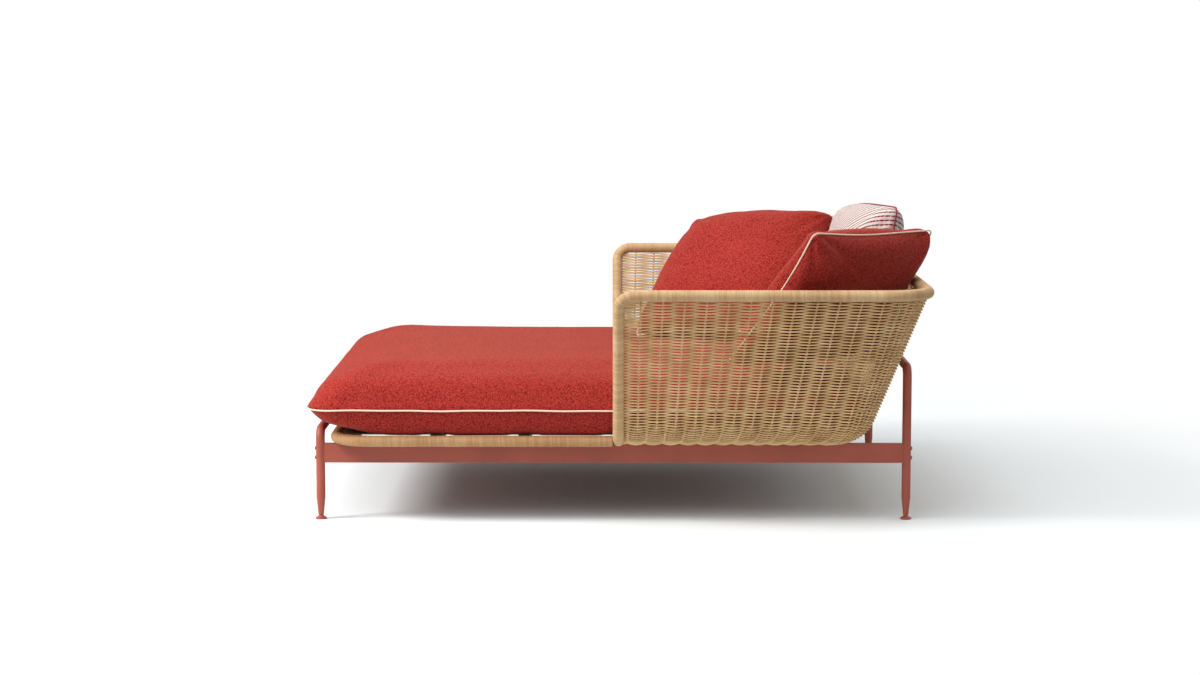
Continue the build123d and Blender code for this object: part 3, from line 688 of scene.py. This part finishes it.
def inflate(obj, held, cap):
    """Cloth pressure on a closed form, with the held points pinned and each move capped."""
    before = places_of(obj)
    group = obj.vertex_groups.new(name="held")
    for index, weight in enumerate(held):
        if weight > 0:
            group.add([index], float(weight), "REPLACE")
    cloth = obj.modifiers.new("cloth", "CLOTH")
    settings = cloth.settings
    settings.vertex_group_mass = "held"
    settings.use_pressure = True
    settings.uniform_pressure_force = PRESSURE
    settings.tension_stiffness = 12
    settings.compression_stiffness = 12
    settings.bending_stiffness = 0.6
    settings.quality = 4
    settings.mass = 0.3
    settings.effector_weights.gravity = 0
    cloth.collision_settings.use_collision = False
    cloth.point_cache.frame_start = 1
    cloth.point_cache.frame_end = CLOTH_FRAMES
    scene = bpy.context.scene
    for number in range(1, CLOTH_FRAMES + 1):
        scene.frame_set(number)
    apply_modifiers(obj)
    scene.frame_set(1)
    moved = places_of(obj) - before
    size = np.linalg.norm(moved, axis=1)
    moved *= np.minimum(1, cap / np.maximum(size, 1e-9))[:, None]
    set_places(obj, before + moved)
    obj.vertex_groups.clear()


def smooth_all(obj):
    obj.data.polygons.foreach_set("use_smooth", [True] * len(obj.data.polygons))


def subdivide(obj):
    modifier = obj.modifiers.new("subdivision", "SUBSURF")
    modifier.levels = 1
    modifier.render_levels = 1
    apply_modifiers(obj)
    smooth_all(obj)


WAVES = 6


def soft_noise(places, scale, seed):
    """Gentle waves from a few seeded sine fields, between about -1 and 1."""
    draw = np.random.default_rng(seed)
    total = np.zeros(len(places))
    for _ in range(WAVES):
        direction = draw.normal(size=3)
        direction /= np.linalg.norm(direction)
        pace = 2 * math.pi / scale * draw.uniform(0.7, 1.5)
        total += np.sin(places @ direction * pace + draw.uniform(0, 6.28))
    return total / WAVES


def smoothing(obj, repeats, weights):
    """Repeated averaging of each point with its neighbours, weighted point by point."""
    group = obj.vertex_groups.new(name="smoothing")
    for index, weight in enumerate(weights):
        if weight > 0:
            group.add([index], float(min(weight, 1)), "REPLACE")
    modifier = obj.modifiers.new("smoothing", "SMOOTH")
    modifier.factor = 0.5
    modifier.iterations = repeats
    modifier.vertex_group = "smoothing"
    apply_modifiers(obj)
    obj.vertex_groups.clear()


def tree_of(obj):
    points = [v.co for v in obj.data.vertices]
    return BVHTree.FromPolygons(points, [p.vertices for p in obj.data.polygons])


def keep_clear(places, rest, trees):
    """Takes points that come too near a neighbour back towards where they started."""
    places = places.copy()
    for index in range(len(places)):
        for share in (1.0, 0.66, 0.33, 0.0):
            point = Vector(rest[index] + (places[index] - rest[index]) * share)
            near = False
            for tree in trees:
                hit, normal, _, distance = tree.find_nearest(point, 0.035)
                if hit is not None and (distance < CLEARANCE or (point - hit).dot(normal) < 0):
                    near = True
                    break
            if not near:
                break
        places[index] = point
    return places


def piping_tube(name, path, finish, body, node):
    """A round cord laid along a closed path."""
    run = np.roll(path, -1, axis=0) - np.roll(path, 1, axis=0)
    run /= np.linalg.norm(run, axis=1)[:, None]
    guide = np.array([0.31, 0.22, 0.92])
    first = np.cross(run, guide)
    first /= np.linalg.norm(first, axis=1)[:, None]
    second = np.cross(run, first)
    angles = np.arange(PIPING_SIDES) * 2 * math.pi / PIPING_SIDES
    ring = (
        path[:, None, :]
        + PIPING_R * np.cos(angles)[None, :, None] * first[:, None, :]
        + PIPING_R * np.sin(angles)[None, :, None] * second[:, None, :]
    )
    count = len(path)
    faces = []
    for i in range(count):
        j = (i + 1) % count
        here, there = i * PIPING_SIDES, j * PIPING_SIDES
        for k in range(PIPING_SIDES):
            m = (k + 1) % PIPING_SIDES
            faces.append((here + k, here + m, there + m, there + k))
    material, slot_name = finish
    piece = mesh_object(name, ring.reshape(-1, 3), faces, material)
    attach(piece, body)
    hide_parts(node)
    return piece


def closed_outline(corners, radius, step):
    """A closed run of places round a polygon with equal rounded corners."""
    count = len(corners)
    dense = []
    for i in range(count):
        before = np.array(corners[i - 1], float)
        here = np.array(corners[i], float)
        after = np.array(corners[(i + 1) % count], float)
        a = (before - here) / np.linalg.norm(before - here)
        b = (after - here) / np.linalg.norm(after - here)
        turn = math.pi - math.acos(np.clip(a @ b, -1, 1))
        reach = radius * math.tan(turn / 2)
        middle = here + (a + b) / np.linalg.norm(a + b) * radius / math.cos(turn / 2)
        start = here + a * reach - middle
        finish = here + b * reach - middle
        for share in np.linspace(0, 1, 9):
            angle = turn * share
            place = (math.sin(turn - angle) * start + math.sin(angle) * finish) / math.sin(turn)
            dense.append(middle + place)
    dense.append(dense[0])
    path = np.array(dense)
    lengths = np.concatenate([[0], np.cumsum(np.linalg.norm(np.diff(path, axis=0), axis=1))])
    even = np.linspace(0, lengths[-1], int(lengths[-1] / step), endpoint=False)
    return np.stack([np.interp(even, lengths, path[:, k]) for k in range(path.shape[1])], -1)


# Mattress: crowned top, drawn-in lower band that sags past the outer slats
mattress = soft_copy("mattress_cover", "mattress", MATTRESS_VOXEL)
low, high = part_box("mattress")
co = places_of(mattress)
pins = np.clip(1 - np.abs(co[:, 2] - SEAM_Z) / 0.016, 0, 1)
pins = np.maximum(pins, (co[:, 2] < low[2] + 0.012) * 1.0)
inflate(mattress, pins, MATTRESS_CAP)
co = places_of(mattress)
weights = np.clip((co[:, 2] - SEAM_Z - 0.010) / 0.02, 0, 1) + 0.35 * (co[:, 2] < SEAM_Z - 0.008)
smoothing(mattress, 14, weights)
co = places_of(mattress)
normals = np.zeros(len(mattress.data.vertices) * 3, np.float32)
mattress.data.vertices.foreach_get("normal", normals)
normals = normals.reshape(-1, 3)
top = np.clip((co[:, 2] - 0.36) / 0.04, 0, 1)
move = 0.0014 * soft_noise(co, 0.22, 3) * (1 - top) + 0.0018 * soft_noise(co, 0.35, 5) * top
move *= np.clip(np.abs(co[:, 2] - SEAM_Z) / 0.02, 0, 1)
co = co + normals * move[:, None]
past_slats = np.clip((np.abs(co[:, 1]) - SLAT_EDGE_Y) / 0.006, 0, 1)
outside = past_slats * np.clip((0.262 - co[:, 2]) / 0.03, 0, 1)
room = np.clip(np.min([np.abs(co[:, 0] - bar) for bar in BAR_PLACES], axis=0) / 0.02 - 1, 0, 1)
inside_shell = np.clip((co[:, 0] + 0.05) / 0.03, 0, 1)
from_end = np.clip((co[:, 0] + 0.70) / 0.10, 0, 1)
sag = outside * (0.0020 + 0.0055 * room) * (1 - inside_shell) * from_end
co[:, 2] -= sag
above = co[:, 2] > SEAM_Z
lower = (high[2] + 0.003 - SEAM_Z) / (co[:, 2].max() - SEAM_Z)
co[above, 2] = SEAM_Z + (co[above, 2] - SEAM_Z) * lower
set_places(mattress, co)
subdivide(mattress)
mattress.data.materials.append(mattress_fabric)
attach(mattress, "mattress")
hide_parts("mattress")

cream = (cream_piping, "cream_piping")
front_x, rear_x = MATTRESS_ENDS
half_y = MATTRESS_HALF_Y
seam_corners = [(front_x, -half_y), (rear_x, -half_y), (rear_x, half_y), (front_x, half_y)]
seam_path = closed_outline(seam_corners, MATTRESS_CORNER_R, 0.008)
wave = 0.0007 * np.sin(seam_path[:, 0] * 17)
wave = wave + 0.0005 * np.sin(seam_path[:, 0] * 41 + seam_path[:, 1] * 23)
seam_path = np.concatenate([seam_path, (SEAM_Z + wave)[:, None]], 1)
piping_tube("mattress_piping_cord", seam_path, cream, "mattress", "mattress_piping")


def cushion_axes(facing, lean, roll):
    """The in-plane directions and the normal of a cushion's seam plane."""
    facing, lean, roll = (math.radians(v) for v in (facing, lean, roll))
    flat = np.array([math.cos(facing), math.sin(facing), 0])
    sideways = np.array([-math.sin(facing), math.cos(facing), 0])
    upwards = np.array([0.0, 0, 1])
    normal = flat * math.cos(lean) + upwards * math.sin(lean)
    rising = upwards * math.cos(lean) - flat * math.sin(lean)
    across = sideways * math.cos(roll) + rising * math.sin(roll)
    up = rising * math.cos(roll) - sideways * math.sin(roll)
    return across, up, normal


def edge_moves(u, v, moves, corner_in):
    """How far each edge is let out at its middle, and how far the upper left corner is drawn in."""
    right, left, top_edge, bottom = moves
    drawn = corner_in * np.clip(-u, 0, 1) ** 3 * np.clip(v, 0, 1) ** 3
    du = right * np.clip(u, 0, 1) ** 2 * (1 - v**2) - left * np.clip(-u, 0, 1) ** 2 * (1 - v**2)
    dv = top_edge * np.clip(v, 0, 1) ** 2 * (1 - u**2) - bottom * np.clip(-v, 0, 1) ** 2 * (1 - u**2)
    return du + drawn, dv - drawn


def make_cushion(node, size, place, angles, finishes, look, trees):
    """A stuffed cushion: made fuller than its CAD solid, blown up, and creased at its corners.

    look holds how much fuller the front and back are, how far the right, left, top and bottom
    edges are let out, how far one corner is drawn in, a seed and the wrinkles' height.
    """
    moves, corner_in, seed = look["let_out"], look["corner_in"], look["seed"]
    half_w, half_h, half_t = (value / 2 for value in size)
    across, up, normal = cushion_axes(*angles)
    axes = np.stack([across, up, normal])
    centre = np.array(place)
    obj = soft_copy(node + "_cover", node, CUSHION_VOXEL)
    rest = places_of(obj)
    local = (rest - centre) @ axes.T
    depth = np.clip(np.abs(local[:, 2]) / half_t, 0, 1)
    share = np.interp(depth, [0, 0.42, 0.75, 0.94, 1], [1, 0.9, 0.72, 0.48, 0.25])
    spread = np.maximum(np.abs(local[:, 0]) / half_w, np.abs(local[:, 1]) / half_h)
    share = np.where(depth > 0.985, np.minimum(spread, share), share)
    fuller = (1 - np.clip(share, 0, 1) ** 3.6) ** 0.62
    extra = np.where(local[:, 2] > 0, look["front"], look["back"])
    local[:, 2] = np.sign(local[:, 2]) * half_t * fuller * extra
    u = np.clip(local[:, 0] / half_w, -1, 1)
    v = np.clip(local[:, 1] / half_h, -1, 1)
    du, dv = edge_moves(u, v, moves, corner_in)
    local[:, 0] += du
    local[:, 1] += dv
    set_places(obj, keep_clear(centre + local @ axes, rest, trees))
    remesh(obj, CUSHION_VOXEL)
    local = (places_of(obj) - centre) @ axes.T
    pins = np.clip(1 - np.abs(local[:, 2]) / 0.006, 0, 1)
    inflate(obj, pins, CUSHION_CAP)
    local = (places_of(obj) - centre) @ axes.T
    smoothing(obj, 18, np.clip(np.abs(local[:, 2]) / 0.02 - 0.3, 0, 1))
    start = places_of(obj)
    local = (start - centre) @ axes.T
    u = local[:, 0] / half_w
    v = local[:, 1] / half_h
    corner = np.clip((np.abs(u) * np.abs(v)), 0, 1) ** 1.5
    radial = np.arctan2(np.abs(v) - 1.0, np.abs(u) - 1.0)
    fall = np.clip(np.abs(local[:, 2]) / 0.02, 0, 1)
    crease = np.sin(radial * 22 + seed) * corner
    shift = (look["wrinkle"] * soft_noise(start, 0.16, seed) + CORNER_CREASE * crease) * fall
    co = start + (np.sign(local[:, 2]) * shift)[:, None] * normal
    set_places(obj, keep_clear(co, start, trees))
    subdivide(obj)
    local = (places_of(obj) - centre) @ axes.T
    layer = obj.data.attributes.new("cloth_place", "FLOAT_VECTOR", "POINT")
    layer.data.foreach_set("vector", local.astype(np.float32).ravel())
    (material, slot_name), piping_finish = finishes
    obj.data.materials.append(material)
    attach(obj, node)
    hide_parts(node)

    seam_corners = [(-half_w, -half_h), (half_w, -half_h), (half_w, half_h), (-half_w, half_h)]
    outline = closed_outline(seam_corners, 0.018, 0.006)
    u = np.clip(outline[:, 0] / half_w, -1, 1)
    v = np.clip(outline[:, 1] / half_h, -1, 1)
    halves = (half_w, half_w, half_h, half_h)
    drawn_in = [move - SEAM_BOW * 2 * half for move, half in zip(moves, halves)]
    du, dv = edge_moves(u, v, drawn_in, corner_in)
    seam = np.stack([outline[:, 0] + du, outline[:, 1] + dv, 0 * u], -1)
    seam[:, 2] += 0.0012 * np.sin(np.arange(len(seam)) * 0.11 + seed)
    piping_tube(node + "_piping_cord", centre + seam @ axes, piping_finish, node, node + "_piping")
    return obj


# Width, height and thickness, then centre, then facing, lean and roll in degrees
big = (0.490, 0.440, 0.130)
small = (0.400, 0.400, 0.110)
plain = ((red_fabric, "red_fabric"), cream)
striped = ((striped_fabric, "striped_fabric"), (red_piping, "red_piping"))
far_look = {
    "front": 1.35, "back": 1.10, "let_out": (0.012, 0.012, 0.020, 0.0),
    "corner_in": 0.030, "seed": 5, "wrinkle": 0.0022,
}
near_look = {
    "front": 1.05, "back": 1.12, "let_out": (0.0, 0.040, 0.010, 0.0),
    "corner_in": 0.0, "seed": 3, "wrinkle": 0.0022,
}
striped_look = {
    "front": 1.50, "back": 1.10, "let_out": (0.012, 0.010, 0.020, 0.0),
    "corner_in": 0.010, "seed": 8, "wrinkle": 0.0024,
}
far_place, far_angles = (0.3226, 0.1236, 0.5713), (228.4, 46.4, 6.2)
near_place, near_angles = (0.5344, -0.5199, 0.5757), (135.8, 38.4, 2.5)
striped_place, striped_angles = (0.6539, -0.1225, 0.5859), (192.3, 8.6, 1.6)
trees = [tree_of(nodes[name]) for name in ("hoop_wrap", "woven_wall")] + [tree_of(mattress)]
for node, size, place, angles, finish, look in (
    ("far_cushion", big, far_place, far_angles, plain, far_look),
    ("near_cushion", big, near_place, near_angles, plain, near_look),
    ("striped_cushion", small, striped_place, striped_angles, striped, striped_look),
):
    made = make_cushion(node, size, place, angles, finish, look, trees)
    trees.append(tree_of(made))

# Finishes of the CAD pieces that stay
finishes = {
    "front_bow": terracotta,
    "rear_bow": terracotta,
    "leg_tips": terracotta,
    "side_beam_right": terracotta,
    "side_beam_left": terracotta,
    "leg_bolts": terracotta,
    "back_spacers": terracotta,
    "foot_front_right": foot_paint,
    "foot_front_left": foot_paint,
    "foot_rear_right": foot_paint,
    "foot_rear_left": foot_paint,
    "beam_plugs": plated,
    "deck_screws": plated,
    "seat_ring": tan_paint,
    "deck_bars": tan_paint,
    "deck_slats": tan_paint,
    "hoop_tube": tan_paint,
    "hoop_cross_tube": tan_paint,
    "tube_saddles": tan_paint,
    "base_loop": tan_paint,
}
for node, material in finishes.items():
    mesh = nodes[node].data
    mesh.materials.clear()
    mesh.materials.append(material)
    mesh.polygons.foreach_set("use_smooth", [True] * len(mesh.polygons))
    mesh.set_sharp_from_angle(angle=math.radians(32))

# Floor and background: the floor turns to plain white light between two distances from the bed
WHITE_FROM = 1.1
WHITE_BY = 2.6
FLOOR_GLOW = 0.2
WORLD_LIGHT = 0.62
bpy.ops.mesh.primitive_plane_add(size=40.0, location=(0, 8.0, 0))
floor = bpy.context.object
floor.name = "studio_floor"
floor_material = Nodes("studio_floor")
floor_material.bsdf.inputs["Base Color"].default_value = (0.82, 0.86, 0.87, 1)
floor_material.bsdf.inputs["Roughness"].default_value = 0.9
floor_material.bsdf.inputs["Specular IOR Level"].default_value = 0.0
white = floor_material.add("ShaderNodeEmission", Strength=1.0)
white.inputs["Color"].default_value = (1, 1, 1, 1)
seen = floor_material.add("ShaderNodeLightPath")
glow = floor_material.add("ShaderNodeMapRange")
glow.inputs["To Min"].default_value = FLOOR_GLOW
glow.inputs["To Max"].default_value = 1.0
floor_material.link(seen, "Is Camera Ray", glow, "Value")
floor_material.link(glow, "Result", white, "Strength")
distance = floor_material.add("ShaderNodeVectorMath", operation="LENGTH")
floor_material.link(floor_material.coords, "Object", distance, 0)
fading = floor_material.add("ShaderNodeMapRange")
fading.interpolation_type = "SMOOTHSTEP"
fading.inputs["From Min"].default_value = WHITE_FROM
fading.inputs["From Max"].default_value = WHITE_BY
floor_material.link(distance, "Value", fading, "Value")
blend = floor_material.add("ShaderNodeMixShader")
floor_material.link(fading, "Result", blend, "Fac")
floor_material.link(floor_material.bsdf, "BSDF", blend, 1)
floor_material.link(white, "Emission", blend, 2)
floor_material.link(blend, "Shader", floor_material.out, "Surface")
floor.data.materials.append(floor_material.material)
floor.data.transform(floor.matrix_world)
floor.location = (0, 0, 0)

world = bpy.data.worlds.new("studio")
bpy.context.scene.world = world
world.use_nodes = True
tree = world.node_tree
tree.nodes.clear()
world_out = tree.nodes.new("ShaderNodeOutputWorld")
background = tree.nodes.new("ShaderNodeBackground")
background.inputs["Color"].default_value = (1, 1, 1, 1)
path = tree.nodes.new("ShaderNodeLightPath")
camera_or_gloss = tree.nodes.new("ShaderNodeMath")
camera_or_gloss.operation = "MAXIMUM"
tree.links.new(path.outputs["Is Camera Ray"], camera_or_gloss.inputs[0])
tree.links.new(path.outputs["Is Glossy Ray"], camera_or_gloss.inputs[1])
strength = tree.nodes.new("ShaderNodeMapRange")
strength.inputs["To Min"].default_value = WORLD_LIGHT
strength.inputs["To Max"].default_value = 1.0
tree.links.new(camera_or_gloss.outputs[0], strength.inputs["Value"])
tree.links.new(strength.outputs["Result"], background.inputs["Strength"])
tree.links.new(background.outputs[0], world_out.inputs[0])


def lamp(name, place, target, size, power):
    """A square area lamp, its size in metres and its power in watts."""
    data = bpy.data.lights.new(name, "AREA")
    data.shape = "SQUARE"
    data.size = size
    data.energy = power
    obj = bpy.data.objects.new(name, data)
    bpy.context.scene.collection.objects.link(obj)
    obj.location = place
    obj.rotation_euler = (Vector(target) - Vector(place)).to_track_quat("-Z", "Y").to_euler()
    return obj


LAMP_DISTANCE = 5.0
AIM = (0, 0, 0.3)


def aimed_from(azimuth, elevation, distance):
    """A place seen from the bed: azimuth turns from -X towards -Y."""
    azimuth, elevation = math.radians(azimuth), math.radians(elevation)
    flat = math.cos(elevation) * distance
    height = math.sin(elevation) * distance + AIM[2]
    return (-flat * math.cos(azimuth), -flat * math.sin(azimuth), height)


lamp("key", aimed_from(23, 36, LAMP_DISTANCE), AIM, 1.6, 225)
lamp("soft_front", aimed_from(62, 48, LAMP_DISTANCE), AIM, 3.0, 72)
lamp("soft_top", (0.3, 0.0, 5.2), (0.3, 0.0, 0.3), 4.0, 95)

# Camera: place in metres, lens in millimetres, angles in degrees
CAMERA_PLACE = (-0.0229, -7.5387, 1.2508)
CAMERA_LENS = 82.8
CAMERA_PITCH = 83.651
CAMERA_TURN = 0.248
camera_data = bpy.data.cameras.new("camera")
camera_data.lens = CAMERA_LENS
camera_data.sensor_width = 36.0
camera = bpy.data.objects.new("camera", camera_data)
bpy.context.scene.collection.objects.link(camera)
camera.location = CAMERA_PLACE
camera.rotation_euler = (math.radians(CAMERA_PITCH), 0, math.radians(CAMERA_TURN))
bpy.context.scene.camera = camera

bpy.context.scene.view_settings.view_transform = "Standard"
